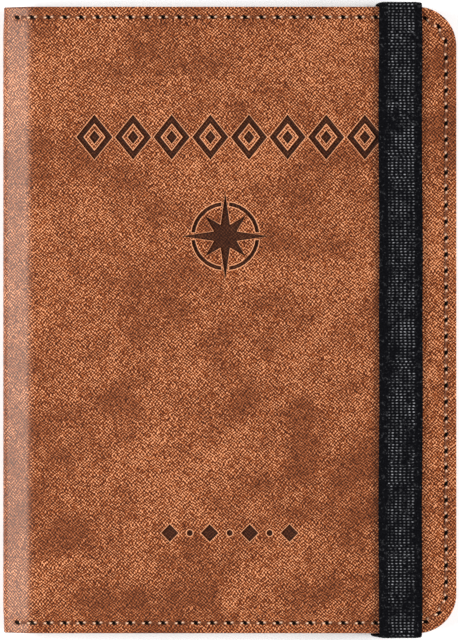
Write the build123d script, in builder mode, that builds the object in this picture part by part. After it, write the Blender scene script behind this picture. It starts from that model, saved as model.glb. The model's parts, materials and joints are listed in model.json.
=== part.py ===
from build123d import *

import os
from math import cos, hypot, radians, sin, tan

# A leather passport holder, lying closed on its back cover, in millimetres. X runs from the spine to the
# fore edge, Y up the covers and Z through the thickness, with the table at z = 0. Two stiffened covers are
# joined by a spine that folds at four creases, and an elastic band anchored in the back cover holds it shut.

# The closed holder.
HOLDER_WIDTH = 104.0
HOLDER_LENGTH = 143.6
HOLDER_THICKNESS = 10.4
CORNER_RADIUS = 9.0

# The layers of a cover, from the outside in.
LEATHER = 0.8
BOARD = 0.5
SHIELD = 0.1
LINING = 0.2
LAYER_INSET = 0.3
SHIELD_INSET = 4.5

# The spine: two sloped strips with an upright one between them.
CREASE_INSET = 6.4
SPINE_SLOPE = 30.0
CREASE_CLEARANCE = 0.15
STACK_SETBACK = 0.6

# The sewn seam along the top, fore and bottom edges lies in a shallow groove.
SEAM_INSET = 2.5
GROOVE_WIDTH = 1.2
GROOVE_DEPTH = 0.3
THREAD_WIDTH = 0.6
THREAD_HEIGHT = 0.25
SPINE_SEAM_LENGTH = 3.0

# The passport side, inside the back cover.
SLEEVE = 0.6
SLEEVE_GAP = 0.6
SLEEVE_MOUTH_X = -4.0
NOTCH_RADIUS = 13.0
NOTCH_DEPTH = 5.0
FILLER_WIDTH = 6.0
SIM_POCKET = 0.3
SIM_POCKET_SIZE = (30.0, 24.0)
SIM_POCKET_CENTRE = (16.0, -48.0)

# The card side, inside the front cover.
SLIP_POCKET = 0.4
SLIP_POCKET_SETBACK = 1.8
CARD_SLOT = 0.35
CARD_SLOT_MOUTHS = (6.0, -8.0, -22.0)
POCKET_INSET = 0.4

# The elastic band: its two tails are sewn in between the layers of the back cover.
BAND_WIDTH = 10.0
BAND_THICKNESS = 0.9
BAND_INSET = 12.8
BAND_TAIL_LENGTH = 14.0
BAND_TAIL_CLEARANCE = 0.1
BAND_EDGE_GAP = 0.25
BAND_FACE_GAP = 0.1
BAND_JOIN_GAP = 0.05
BAND_BEND = 0.6

# The pressed ornament of the front cover: a lozenge frieze, a compass rose and a short row of lozenges.
ORNAMENT_DEPTH = 0.3
FRIEZE_CENTRE = (0.0, 41.9)
FRIEZE_LENGTH = 70.8
FRIEZE_HEIGHT = 10.3
FRIEZE_CELLS = 8
FRIEZE_GAP = 0.6
FRIEZE_STROKE = 1.2
FRIEZE_PIP = 0.3
ROSE_CENTRE = (-1.0, 19.2)
ROSE_RADIUS = 10.0
ROSE_SHORT_POINT = 6.6
ROSE_WAIST = 2.8
ROSE_RING_RADIUS = 7.4
ROSE_RING_STROKE = 0.8
ROSE_ARM_GAP = 1.8
ROW_CENTRE = (0.0, -48.8)
ROW_LENGTH = 32.0
ROW_HEIGHT = 4.0
ROW_CELLS = 7

# Places worked out from those sizes.
HALF_WIDTH = HOLDER_WIDTH / 2
HALF_LENGTH = HOLDER_LENGTH / 2
CREASE_X = CREASE_INSET - HALF_WIDTH
STACK_LEFT = CREASE_X + STACK_SETBACK
SEAM_Y = HALF_LENGTH - SEAM_INSET
BAND_X = HALF_WIDTH - BAND_INSET
BAND_LEFT = BAND_X - BAND_WIDTH / 2
BAND_RIGHT = BAND_X + BAND_WIDTH / 2
SLIP_POCKET_LEFT = CREASE_X + SLIP_POCKET_SETBACK
FILLER_RIGHT = HALF_WIDTH - LAYER_INSET - FILLER_WIDTH
FILLER_BOTTOM = HALF_LENGTH - LAYER_INSET - FILLER_WIDTH
TAIL_END_Y = HALF_LENGTH - BAND_TAIL_LENGTH
WRAP_INNER_Y = HALF_LENGTH + BAND_EDGE_GAP
WRAP_OUTER_Y = WRAP_INNER_Y + BAND_THICKNESS
RUN_Z = HOLDER_THICKNESS + BAND_FACE_GAP

# Heights of the back cover's layers, counted up from the table.
BACK_BOARD_Z = LEATHER
BACK_SHIELD_Z = BACK_BOARD_Z + BOARD
BACK_LINING_Z = BACK_SHIELD_Z + SHIELD
FILLER_Z = BACK_LINING_Z + LINING
SLEEVE_Z = FILLER_Z + SLEEVE_GAP
SIM_POCKET_Z = SLEEVE_Z + SLEEVE

# Heights of the front cover's layers, counted down from its outer face.
FRONT_LEATHER_Z = HOLDER_THICKNESS - LEATHER
FRONT_BOARD_Z = FRONT_LEATHER_Z - BOARD
FRONT_SHIELD_Z = FRONT_BOARD_Z - SHIELD
FRONT_LINING_Z = FRONT_SHIELD_Z - LINING
SLIP_POCKET_Z = FRONT_LINING_Z - SLIP_POCKET

# The four creases, as points of the leather's mid-surface in X and Z, and how far each one turns.
SPINE_X = LEATHER / 2 - HALF_WIDTH
SPINE_RISE = (CREASE_X - SPINE_X) * tan(radians(SPINE_SLOPE))
BACK_CREASE = (CREASE_X, LEATHER / 2)
LOWER_CREASE = (SPINE_X, LEATHER / 2 + SPINE_RISE)
UPPER_CREASE = (SPINE_X, HOLDER_THICKNESS - LEATHER / 2 - SPINE_RISE)
FRONT_CREASE = (CREASE_X, HOLDER_THICKNESS - LEATHER / 2)
COVER_TURN = SPINE_SLOPE
SPINE_TURN = 90.0 - SPINE_SLOPE
SLOPED_LENGTH = hypot(CREASE_X - SPINE_X, SPINE_RISE)

# Offsets of the spine's layers from the leather's mid-surface, inwards positive.
LEATHER_OUTER = -LEATHER / 2
LEATHER_INNER = LEATHER / 2
LINING_INNER = LEATHER_INNER + LINING


def setback(turn, reach):
    """How far a layer stops short of a crease turned by this angle, where its face lies this far out."""
    return reach * tan(radians(turn / 2)) + CREASE_CLEARANCE


def rectangle(left, right, bottom, top, mode=Mode.ADD):
    """A rectangle of the current sketch, given by its four sides."""
    with Locations(((left + right) / 2, (bottom + top) / 2)):
        Rectangle(right - left, top - bottom, mode=mode)


def cover_outline(left, inset=0.0):
    """A cover's outline: square towards the spine, round at its two fore corners."""
    right = HALF_WIDTH - inset
    top = HALF_LENGTH - inset
    with BuildSketch(mode=Mode.PRIVATE) as outline:
        rectangle(left, right, -top, top)
        fillet(outline.vertices().group_by(Axis.X)[-1], CORNER_RADIUS - inset)
    return outline.sketch_local


def seam_line(left, width):
    """A line of this width along the seam of the top, fore and bottom edges, from left to the corners."""
    return cover_outline(left, SEAM_INSET - width / 2) - cover_outline(left - 1, SEAM_INSET + width / 2)


def strip_profile(start, end, outer, inner, setbacks):
    """A spine strip's section in X and Z: between two offsets from its mid-surface, set back at both ends."""
    run = Vector(end[0] - start[0], 0, end[1] - start[1])
    along = run.normalized()
    inward = Vector(along.Z, 0, -along.X)
    first, last = setbacks[0], run.length - setbacks[1]
    corners = [(first, outer), (first, inner), (last, inner), (last, outer)]
    points = [Vector(start[0], 0, start[1]) + along * a + inward * b for a, b in corners]
    return [(point.X, point.Z) for point in points]


def lozenge(width, height, mode=Mode.ADD):
    """A lozenge of the current sketch, given by its two diagonals."""
    points = [(-width / 2, 0), (0, -height / 2), (width / 2, 0), (0, height / 2)]
    Polygon(*points, align=None, mode=mode)


def star_points(long_radius, short_radius, waist_radius):
    """The outline of an eight-pointed star whose points are long and short by turns."""
    radii = [long_radius, waist_radius, short_radius, waist_radius] * 4
    turn = radians(360 / len(radii))
    return [(radius * cos(i * turn), radius * sin(i * turn)) for i, radius in enumerate(radii)]


def ornament_sketch():
    """The three pressed marks of the front cover, as one sketch."""
    pitch = FRIEZE_LENGTH / FRIEZE_CELLS
    cell_width = pitch - FRIEZE_GAP
    slant = hypot(cell_width, FRIEZE_HEIGHT)
    hole_width = cell_width - 2 * FRIEZE_STROKE * slant / FRIEZE_HEIGHT
    hole_height = FRIEZE_HEIGHT - 2 * FRIEZE_STROKE * slant / cell_width
    row_pitch = ROW_LENGTH / ROW_CELLS
    with BuildSketch(mode=Mode.PRIVATE) as marks:
        with Locations(FRIEZE_CENTRE):
            with GridLocations(pitch, 0, FRIEZE_CELLS, 1):
                lozenge(cell_width, FRIEZE_HEIGHT)
                lozenge(hole_width, hole_height, mode=Mode.SUBTRACT)
                lozenge(FRIEZE_PIP * cell_width, FRIEZE_PIP * FRIEZE_HEIGHT)
        with Locations(ROSE_CENTRE):
            Circle(ROSE_RING_RADIUS + ROSE_RING_STROKE / 2)
            Circle(ROSE_RING_RADIUS - ROSE_RING_STROKE / 2, mode=Mode.SUBTRACT)
            Rectangle(2 * ROSE_RADIUS, ROSE_ARM_GAP, mode=Mode.SUBTRACT)
            Rectangle(ROSE_ARM_GAP, 2 * ROSE_RADIUS, mode=Mode.SUBTRACT)
            Polygon(*star_points(ROSE_RADIUS, ROSE_SHORT_POINT, ROSE_WAIST), align=None)
        with Locations(ROW_CENTRE):
            with GridLocations(2 * row_pitch, 0, ROW_CELLS // 2 + 1, 1):
                lozenge(ROW_HEIGHT, ROW_HEIGHT)
            with GridLocations(2 * row_pitch, 0, ROW_CELLS // 2, 1):
                Circle(ROW_HEIGHT / 6)
    return marks.sketch_local


def finish(piece, name):
    """Label a finished piece and write it out under its name."""
    piece.part.label = name
    export_step(piece.part, f"parts/{name}.step")


os.makedirs("parts", exist_ok=True)

# The back cover.

PANEL_LEFT = CREASE_X + setback(COVER_TURN, LEATHER_INNER)

with BuildPart() as back_cover_leather:
    with BuildSketch():
        add(cover_outline(PANEL_LEFT))
    extrude(amount=LEATHER)
    with BuildSketch():
        add(seam_line(CREASE_X, GROOVE_WIDTH))
    extrude(amount=GROOVE_DEPTH, mode=Mode.SUBTRACT)
finish(back_cover_leather, "back_cover_leather")

with BuildPart() as back_seam_thread:
    with BuildSketch(Plane.XY.offset(GROOVE_DEPTH)):
        add(seam_line(PANEL_LEFT, THREAD_WIDTH))
    extrude(amount=-THREAD_HEIGHT)
finish(back_seam_thread, "back_seam_thread")

with BuildPart() as back_board:
    with BuildSketch(Plane.XY.offset(BACK_BOARD_Z)):
        add(cover_outline(STACK_LEFT, LAYER_INSET))
        for side in (-1, 1):
            with Locations((BAND_X, side * HALF_LENGTH)):
                notch = BAND_WIDTH + 2 * BAND_TAIL_CLEARANCE
                Rectangle(notch, 2 * (BAND_TAIL_LENGTH + BAND_TAIL_CLEARANCE), mode=Mode.SUBTRACT)
    extrude(amount=BOARD)
finish(back_board, "back_board")

with BuildPart() as back_shield:
    with BuildSketch(Plane.XY.offset(BACK_SHIELD_Z)):
        add(cover_outline(STACK_LEFT + SHIELD_INSET, SHIELD_INSET))
    extrude(amount=SHIELD)
finish(back_shield, "back_shield")

with BuildPart() as back_lining:
    with BuildSketch(Plane.XY.offset(BACK_LINING_Z)):
        add(cover_outline(STACK_LEFT, LAYER_INSET))
    extrude(amount=LINING)
finish(back_lining, "back_lining")

# Three edge strips hold the sleeve off the lining, so that a passport's cover slides in between.

with BuildPart() as sleeve_filler_fore:
    with BuildSketch(Plane.XY.offset(FILLER_Z)):
        add(cover_outline(SLEEVE_MOUTH_X, LAYER_INSET))
        rectangle(SLEEVE_MOUTH_X, FILLER_RIGHT, -HALF_LENGTH, HALF_LENGTH, mode=Mode.SUBTRACT)
    extrude(amount=SLEEVE_GAP)
finish(sleeve_filler_fore, "sleeve_filler_fore")

with BuildPart() as sleeve_filler_top:
    with BuildSketch(Plane.XY.offset(FILLER_Z)):
        add(cover_outline(SLEEVE_MOUTH_X, LAYER_INSET))
        rectangle(FILLER_RIGHT, HALF_WIDTH, -HALF_LENGTH, HALF_LENGTH, mode=Mode.SUBTRACT)
        rectangle(SLEEVE_MOUTH_X, FILLER_RIGHT, -HALF_LENGTH, FILLER_BOTTOM, mode=Mode.SUBTRACT)
    extrude(amount=SLEEVE_GAP)
finish(sleeve_filler_top, "sleeve_filler_top")

with BuildPart() as sleeve_filler_bottom:
    mirror(sleeve_filler_top.part, about=Plane.XZ)
finish(sleeve_filler_bottom, "sleeve_filler_bottom")

with BuildPart() as passport_sleeve:
    with BuildSketch(Plane.XY.offset(SLEEVE_Z)):
        add(cover_outline(SLEEVE_MOUTH_X, LAYER_INSET))
        with Locations((SLEEVE_MOUTH_X + NOTCH_DEPTH - NOTCH_RADIUS, 0)):
            Circle(NOTCH_RADIUS, mode=Mode.SUBTRACT)
    extrude(amount=SLEEVE)
finish(passport_sleeve, "passport_sleeve")

with BuildPart() as sim_pocket:
    with BuildSketch(Plane.XY.offset(SIM_POCKET_Z)) as pocket:
        with Locations(SIM_POCKET_CENTRE):
            RectangleRounded(*SIM_POCKET_SIZE, radius=2)
    extrude(amount=SIM_POCKET)
finish(sim_pocket, "sim_pocket")

# The spine, strip by strip from the back cover to the front cover. The seam runs a little way up the two
# sloped strips from the covers.

SEAM_START = (0, SLOPED_LENGTH - SPINE_SEAM_LENGTH)
SEAM_STOP = (SLOPED_LENGTH - SPINE_SEAM_LENGTH, 0)
strips = [
    ("spine_lower", BACK_CREASE, LOWER_CREASE, (COVER_TURN, SPINE_TURN), SEAM_START),
    ("spine_middle", LOWER_CREASE, UPPER_CREASE, (SPINE_TURN, SPINE_TURN), None),
    ("spine_upper", UPPER_CREASE, FRONT_CREASE, (SPINE_TURN, COVER_TURN), SEAM_STOP),
]

for name, start, end, turns, seam in strips:
    with BuildPart() as strip_leather:
        with BuildSketch(Plane.XZ):
            setbacks = [setback(turn, LEATHER_INNER) for turn in turns]
            Polygon(*strip_profile(start, end, LEATHER_OUTER, LEATHER_INNER, setbacks), align=None)
        extrude(amount=HALF_LENGTH, both=True)
        if seam:
            groove = strip_profile(start, end, LEATHER_OUTER, LEATHER_OUTER + GROOVE_DEPTH, seam)
            for side in (-1, 1):
                with BuildSketch(Plane.XZ.offset(side * SEAM_Y)):
                    Polygon(*groove, align=None)
                extrude(amount=GROOVE_WIDTH / 2, both=True, mode=Mode.SUBTRACT)
    finish(strip_leather, f"{name}_leather")

    with BuildPart() as strip_lining:
        with BuildSketch(Plane.XZ):
            setbacks = [setback(turn, LINING_INNER) for turn in turns]
            Polygon(*strip_profile(start, end, LEATHER_INNER, LINING_INNER, setbacks), align=None)
        extrude(amount=HALF_LENGTH - LAYER_INSET, both=True)
    finish(strip_lining, f"{name}_lining")

    if seam:
        floor = LEATHER_OUTER + GROOVE_DEPTH
        ends = [max(gap, setback(COVER_TURN, LEATHER_INNER)) for gap in seam]
        with BuildPart() as strip_thread:
            for side in (-1, 1):
                with BuildSketch(Plane.XZ.offset(side * SEAM_Y)):
                    Polygon(*strip_profile(start, end, floor - THREAD_HEIGHT, floor, ends), align=None)
                extrude(amount=THREAD_WIDTH / 2, both=True)
        finish(strip_thread, f"{name}_thread")

# The front cover, with its ornament pressed into the leather.

with BuildPart() as front_cover_leather:
    with BuildSketch(Plane.XY.offset(FRONT_LEATHER_Z)):
        add(cover_outline(PANEL_LEFT))
    extrude(amount=LEATHER)
    with BuildSketch(Plane.XY.offset(HOLDER_THICKNESS)):
        add(seam_line(CREASE_X, GROOVE_WIDTH))
    extrude(amount=-GROOVE_DEPTH, mode=Mode.SUBTRACT)
    with BuildSketch(Plane.XY.offset(HOLDER_THICKNESS)):
        add(ornament_sketch())
    extrude(amount=-ORNAMENT_DEPTH, mode=Mode.SUBTRACT)
finish(front_cover_leather, "front_cover_leather")

with BuildPart() as front_seam_thread:
    with BuildSketch(Plane.XY.offset(HOLDER_THICKNESS - GROOVE_DEPTH)):
        add(seam_line(PANEL_LEFT, THREAD_WIDTH))
    extrude(amount=THREAD_HEIGHT)
finish(front_seam_thread, "front_seam_thread")

with BuildPart() as front_board:
    with BuildSketch(Plane.XY.offset(FRONT_BOARD_Z)):
        add(cover_outline(STACK_LEFT, LAYER_INSET))
    extrude(amount=BOARD)
finish(front_board, "front_board")

with BuildPart() as front_shield:
    with BuildSketch(Plane.XY.offset(FRONT_SHIELD_Z)):
        add(cover_outline(STACK_LEFT + SHIELD_INSET, SHIELD_INSET))
    extrude(amount=SHIELD)
finish(front_shield, "front_shield")

with BuildPart() as front_lining:
    with BuildSketch(Plane.XY.offset(FRONT_LINING_Z)):
        add(cover_outline(STACK_LEFT, LAYER_INSET))
    extrude(amount=LINING)
finish(front_lining, "front_lining")

with BuildPart() as slip_pocket:
    with BuildSketch(Plane.XY.offset(SLIP_POCKET_Z)):
        add(cover_outline(SLIP_POCKET_LEFT, POCKET_INSET))
    extrude(amount=SLIP_POCKET)
finish(slip_pocket, "slip_pocket")

# Each card slot overlaps the one above it, and is tacked to it at both ends of its mouth.

for number, mouth in enumerate(CARD_SLOT_MOUTHS, start=1):
    with BuildPart() as card_slot:
        with BuildSketch(Plane.XY.offset(SLIP_POCKET_Z - number * CARD_SLOT)):
            add(cover_outline(SLIP_POCKET_LEFT, POCKET_INSET))
            rectangle(-HALF_WIDTH, HALF_WIDTH, mouth, HALF_LENGTH, mode=Mode.SUBTRACT)
        extrude(amount=CARD_SLOT)
    finish(card_slot, f"card_slot_{number}")

# The elastic band: tails inside the back cover, wraps round its edges, and the run over the front cover.

for name, side in (("top", 1), ("bottom", -1)):
    with BuildPart() as band_tail:
        with BuildSketch(Plane.XY.offset(BACK_BOARD_Z)):
            rectangle(BAND_LEFT, BAND_RIGHT, *sorted((side * TAIL_END_Y, side * HALF_LENGTH)))
        extrude(amount=BOARD)
    finish(band_tail, f"band_{name}_tail")

    foot = sorted((side * HALF_LENGTH, side * WRAP_OUTER_Y))
    wall = sorted((side * WRAP_INNER_Y, side * WRAP_OUTER_Y))
    with BuildPart() as band_wrap:
        with BuildSketch(Plane.YZ.offset(BAND_LEFT)):
            rectangle(*foot, BACK_BOARD_Z, BACK_SHIELD_Z)
            rectangle(*wall, BACK_BOARD_Z, RUN_Z - BAND_JOIN_GAP)
        extrude(amount=BAND_WIDTH)
    finish(band_wrap, f"band_{name}_wrap")

with BuildPart() as band_front_run:
    with BuildSketch(Plane.XY.offset(RUN_Z)):
        rectangle(BAND_LEFT, BAND_RIGHT, -WRAP_OUTER_Y, WRAP_OUTER_Y)
    extrude(amount=BAND_THICKNESS)
    top_ends = band_front_run.edges().filter_by(Axis.X).group_by(Axis.Z)[-1]
    fillet(top_ends, BAND_BEND)
finish(band_front_run, "band_front_run")
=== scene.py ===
import json
from math import atan2, ceil, cos, hypot, pi, radians, sin, tan

import bmesh
import bpy
import numpy as np
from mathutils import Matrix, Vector
from mathutils.geometry import delaunay_2d_cdt


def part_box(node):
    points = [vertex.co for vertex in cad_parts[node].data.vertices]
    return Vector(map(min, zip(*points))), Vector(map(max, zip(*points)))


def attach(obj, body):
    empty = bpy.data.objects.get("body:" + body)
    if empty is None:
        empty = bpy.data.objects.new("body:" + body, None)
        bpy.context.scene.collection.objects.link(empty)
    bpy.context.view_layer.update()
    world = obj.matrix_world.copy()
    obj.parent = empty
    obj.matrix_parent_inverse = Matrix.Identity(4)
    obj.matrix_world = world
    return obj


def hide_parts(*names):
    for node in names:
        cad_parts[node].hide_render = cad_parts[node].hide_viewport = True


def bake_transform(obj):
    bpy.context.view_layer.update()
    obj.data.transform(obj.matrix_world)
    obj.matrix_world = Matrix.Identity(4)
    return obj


# A leather passport holder, closed and held by an elastic band. Everything is in metres, in the CAD frame:
# X from the spine to the fore edge, Y up the covers, Z out of the front cover.

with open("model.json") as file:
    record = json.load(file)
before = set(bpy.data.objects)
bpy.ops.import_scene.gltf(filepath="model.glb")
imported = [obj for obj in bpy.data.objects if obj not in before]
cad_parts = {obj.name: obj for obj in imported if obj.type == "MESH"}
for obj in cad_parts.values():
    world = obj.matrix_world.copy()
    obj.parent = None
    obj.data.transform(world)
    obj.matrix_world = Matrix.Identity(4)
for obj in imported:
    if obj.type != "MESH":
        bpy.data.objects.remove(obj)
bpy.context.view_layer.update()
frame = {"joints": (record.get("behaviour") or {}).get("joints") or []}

MM = 0.001


def node_range(node, axis):
    """A CAD node's lowest and highest coordinate along one axis."""
    low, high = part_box(node)
    return low[axis], high[axis]


# Places read from the CAD model.
JOINTS = {joint["name"]: joint for joint in frame["joints"]}
UPPER_CREASE = JOINTS["upper_crease"]["pos_m"]
FRONT_CREASE = JOINTS["front_crease"]["pos_m"]
HALF_LENGTH = node_range("front_cover_leather", 1)[1]
HALF_WIDTH = node_range("front_cover_leather", 0)[1]
LEATHER_BOTTOM, TOP_Z = node_range("front_cover_leather", 2)
HALF_LEATHER = (TOP_Z - LEATHER_BOTTOM) / 2
MID_Z = TOP_Z / 2

# Details of the covers.
CORNER_RADIUS = 9.0 * MM
SPINE_ROUND = 1.9 * MM
CREASE_ROUND = 5.0 * MM
SEAM_INSET = 2.4 * MM
SEAM_START_X = -48.6 * MM
STITCH_PITCH = 3.75 * MM
EDGE_ROUND = 0.3 * MM
EDGE_DROP = 0.16 * MM
DROP_SPAN = (2.0 * MM, 6.0 * MM)
GROOVE_DEPTH = 0.13 * MM
GROOVE_REACH = 0.75 * MM
GRID = 1.5 * MM
SHARP_ANGLE = radians(52)
CREASE_MARGIN = 0.5 * MM
CUT_SHARE = 0.15
MARK_CLEARANCE = 0.45 * MM
HOLE_CLEARANCE = 0.85 * MM

# How finely round shapes, free edges and creases are divided.
ARC_STEPS = 14
EDGE_STEPS = 4
SPACING = 1.4 * MM
FINE_MARGIN = 0.3 * MM

# Details of the band's webbing.
RIB_PITCH = 0.68 * MM
RIB_STEPS = 6
RIB_DEPTH = 0.09 * MM
CORD_PITCH = 0.95 * MM
CORD_DEPTH = 0.05 * MM
# The painted glints on the band follow cords that wander this far, within this reach of this middle.
CORD_WANDER = 1.2 * MM
CORDS_MIDDLE = 0.3 * MM
CORDS_REACH = 3.2 * MM


# The line of the skin: the leather's mid-surface in X and Z, from the middle of the spine to the fore edge.


def rounded_line(corners, radii, steps):
    """Lengths, points and headings along a line of straight runs, round at its inner corners."""
    corners = [Vector(corner) for corner in corners]
    points, headings = [corners[0]], []
    for before, corner, after, radius in zip(corners, corners[1:], corners[2:], radii):
        arriving = atan2(corner.y - before.y, corner.x - before.x)
        leaving = atan2(after.y - corner.y, after.x - corner.x)
        turn = leaving - arriving
        side = radius if turn > 0 else -radius
        start = corner - Vector((cos(arriving), sin(arriving))) * radius * tan(abs(turn) / 2)
        centre = start + Vector((-sin(arriving), cos(arriving))) * side
        headings += [arriving + turn * i / steps for i in range(steps + 1)]
        points += [centre + Vector((sin(a), -cos(a))) * side for a in headings[-steps - 1:]]
    first, last = corners[1] - corners[0], corners[-1] - corners[-2]
    headings = [atan2(first.y, first.x), *headings, atan2(last.y, last.x)]
    points.append(corners[-1])
    lengths = np.cumsum([0.0] + [(b - a).length for a, b in zip(points, points[1:])])
    return lengths, np.array(points), np.array(headings)


LINE_CORNERS = [(UPPER_CREASE[0], MID_Z), UPPER_CREASE[::2], FRONT_CREASE[::2], (HALF_WIDTH, FRONT_CREASE[2])]
LINE_T, LINE, LINE_HEADING = rounded_line(LINE_CORNERS, (SPINE_ROUND, CREASE_ROUND), ARC_STEPS)
LINE_X, LINE_Z = LINE.T

# Where the skin turns, where the spine's piece is cut from a cover's on the slope, and the fore edge.
T_UPPER_ARC = (LINE_T[1], LINE_T[1 + ARC_STEPS])
T_FRONT_ARC = (LINE_T[2 + ARC_STEPS], LINE_T[2 + 2 * ARC_STEPS])
COVER_SHIFT = sum(T_FRONT_ARC) / 2 - FRONT_CREASE[0]
T_CUT = T_UPPER_ARC[1] + CUT_SHARE * (T_FRONT_ARC[0] - T_UPPER_ARC[1])
T_END = LINE_T[-1]


def on_skin(t, y, h):
    """Points of the skin: t along it from the spine's middle, below zero on the back, and h out of it."""
    t, y, h = (np.asarray(a, float) for a in (t, y, h))
    heading = np.interp(abs(t), LINE_T, LINE_HEADING)
    x = np.interp(abs(t), LINE_T, LINE_X) - np.sin(heading) * h
    z = np.interp(abs(t), LINE_T, LINE_Z) + np.cos(heading) * h
    return np.stack([x, y + 0 * t, np.where(t < 0, 2 * MID_Z - z, z)], axis=-1)


def t_at_x(x):
    """The length along the skin at which its panel or slope reaches this X."""
    return float(np.interp(x, LINE_X[1:], LINE_T[1:]))


# Outlines and flat triangulation.


def smooth(value, low, high):
    """Zero below low, one above high, and a smooth step between."""
    share = np.clip((value - low) / (high - low), 0, 1)
    return share * share * (3 - 2 * share)


def spaced(start, stop, spacing):
    """Evenly spaced values from start to stop, about this far apart."""
    return np.linspace(start, stop, max(2, int(ceil(abs(stop - start) / spacing)) + 1))


def arc_points(centre, radius, start, stop, count=ARC_STEPS):
    """Points of an arc between two angles in degrees, without its first one."""
    angles = [radians(start + (stop - start) * i / count) for i in range(1, count + 1)]
    return [(centre[0] + radius * cos(a), centre[1] + radius * sin(a)) for a in angles]


def panel_loop(run, inset, spacing=SPACING):
    """A panel's outline, this far in from its three sewn edges, with round fore corners. run holds the
    coordinates along the top and bottom edges, from the spine side to where the corners start."""
    top = HALF_LENGTH - inset
    centre_y = HALF_LENGTH - CORNER_RADIUS
    centre_x = T_END - CORNER_RADIUS
    radius = CORNER_RADIUS - inset
    loop = [(x, -top) for x in run]
    loop += arc_points((centre_x, -centre_y), radius, -90, 0)
    loop += [(T_END - inset, y) for y in spaced(-centre_y, centre_y, spacing)[1:]]
    loop += arc_points((centre_x, centre_y), radius, 0, 90)
    loop += [(x, top) for x in run[::-1][1:]]
    loop += [(run[0], y) for y in spaced(top, -top, spacing)[1:-1]]
    return np.array(loop)


def edge_distance(x, y):
    """How far a point is inside a panel's three sewn edges, whose fore corners are round."""
    over_x = x - (T_END - CORNER_RADIUS)
    over_y = abs(y) - (HALF_LENGTH - CORNER_RADIUS)
    corner = CORNER_RADIUS - np.hypot(np.maximum(over_x, 0), np.maximum(over_y, 0))
    straight = np.minimum(T_END - x, HALF_LENGTH - abs(y))
    return np.where((over_x > 0) & (over_y > 0), corner, straight)


def grow(points, distance):
    """A counter-clockwise outline moved out by distance, with its sharp corners kept short."""
    points = np.asarray(points, float)
    edge = np.roll(points, -1, axis=0) - points
    edge /= np.linalg.norm(edge, axis=1)[:, None]
    out = np.stack([edge[:, 1], -edge[:, 0]], axis=1)
    before = np.roll(out, 1, axis=0)
    bisector = out + before
    scale = np.maximum((bisector * bisector).sum(1) / 2, 0.02)
    move = bisector / scale[:, None] * distance
    reach = np.linalg.norm(move, axis=1)
    limit = abs(distance) * (1.05 if distance > 0 else 7.0)
    return points + move * np.minimum(1, limit / np.maximum(reach, 1e-12))[:, None]


def inside(points, outline):
    """Which points lie inside an outline."""
    x, y = points.T
    found = np.zeros(len(points), bool)
    for (ax, ay), (bx, by) in zip(outline, np.roll(outline, -1, axis=0)):
        if ay == by:
            continue
        crosses = (ay > y) != (by > y)
        found ^= crosses & (x < (bx - ax) * (y - ay) / (by - ay) + ax)
    return found


def triangulate(outline, loops=(), points=()):
    """Triangles that fill an outline and keep the loops' edges. Returns the flat points, the triangles and,
    for each given point, in the order outline, loops, points, its number among them."""
    given, edges = [tuple(p) for p in outline], []
    for loop in loops:
        first = len(given)
        given += [tuple(p) for p in loop]
        edges += [(first + i, first + (i + 1) % len(loop)) for i in range(len(loop))]
    given += [tuple(p) for p in points]
    scale = 1 / MM
    flat = [Vector((x * scale, y * scale)) for x, y in given]
    face = [list(range(len(outline)))]
    made = delaunay_2d_cdt(flat, edges, face, 1, 1e-6)
    number = np.full(len(given), -1)
    for i, sources in enumerate(made[3]):
        for source in sources:
            number[source] = i
    return np.array([tuple(v) for v in made[0]]) / scale, [tuple(f) for f in made[2]], number


ROW_STEP = 0.866


def hex_grid(low, high, spacing):
    """Points of a triangular grid over a box."""
    rows = int((high[1] - low[1]) / (spacing * ROW_STEP)) + 1
    columns = int((high[0] - low[0]) / spacing) + 1
    i, j = np.meshgrid(np.arange(columns), np.arange(rows))
    x = low[0] + (i + 0.5 * (j % 2)) * spacing
    y = low[1] + j * spacing * ROW_STEP
    return np.stack([x.ravel(), y.ravel()], axis=1)


# Meshes.


def add_object(name, data):
    """A new object in the scene."""
    made = bpy.data.objects.new(name, data)
    bpy.context.scene.collection.objects.link(made)
    return made


def make_piece(name, points, faces, rest, values, material):
    """An object from points and faces. rest keeps each point's place on the flat cut piece, for the grain."""
    mesh = bpy.data.meshes.new(name)
    mesh.from_pydata([tuple(p) for p in points], [], [tuple(f) for f in faces])
    attribute = mesh.attributes.new("rest", "FLOAT_VECTOR", "POINT")
    attribute.data.foreach_set("vector", np.asarray(rest, np.float32).ravel())
    for key, value in values.items():
        attribute = mesh.attributes.new(key, "FLOAT", "POINT")
        attribute.data.foreach_set("value", np.asarray(value, np.float32))
    tidy = bmesh.new()
    tidy.from_mesh(mesh)
    loose = [v for v in tidy.verts if not v.link_faces]
    bmesh.ops.delete(tidy, geom=loose, context="VERTS")
    bmesh.ops.recalc_face_normals(tidy, faces=tidy.faces)
    tidy.to_mesh(mesh)
    tidy.free()
    mesh.shade_smooth()
    mesh.set_sharp_from_angle(angle=SHARP_ANGLE)
    mesh.materials.append(material)
    return add_object(name, mesh)


def ring_faces(first, second):
    """The faces between two rings of as many points."""
    return list(zip(first, second, np.roll(second, -1), np.roll(first, -1)))


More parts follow.
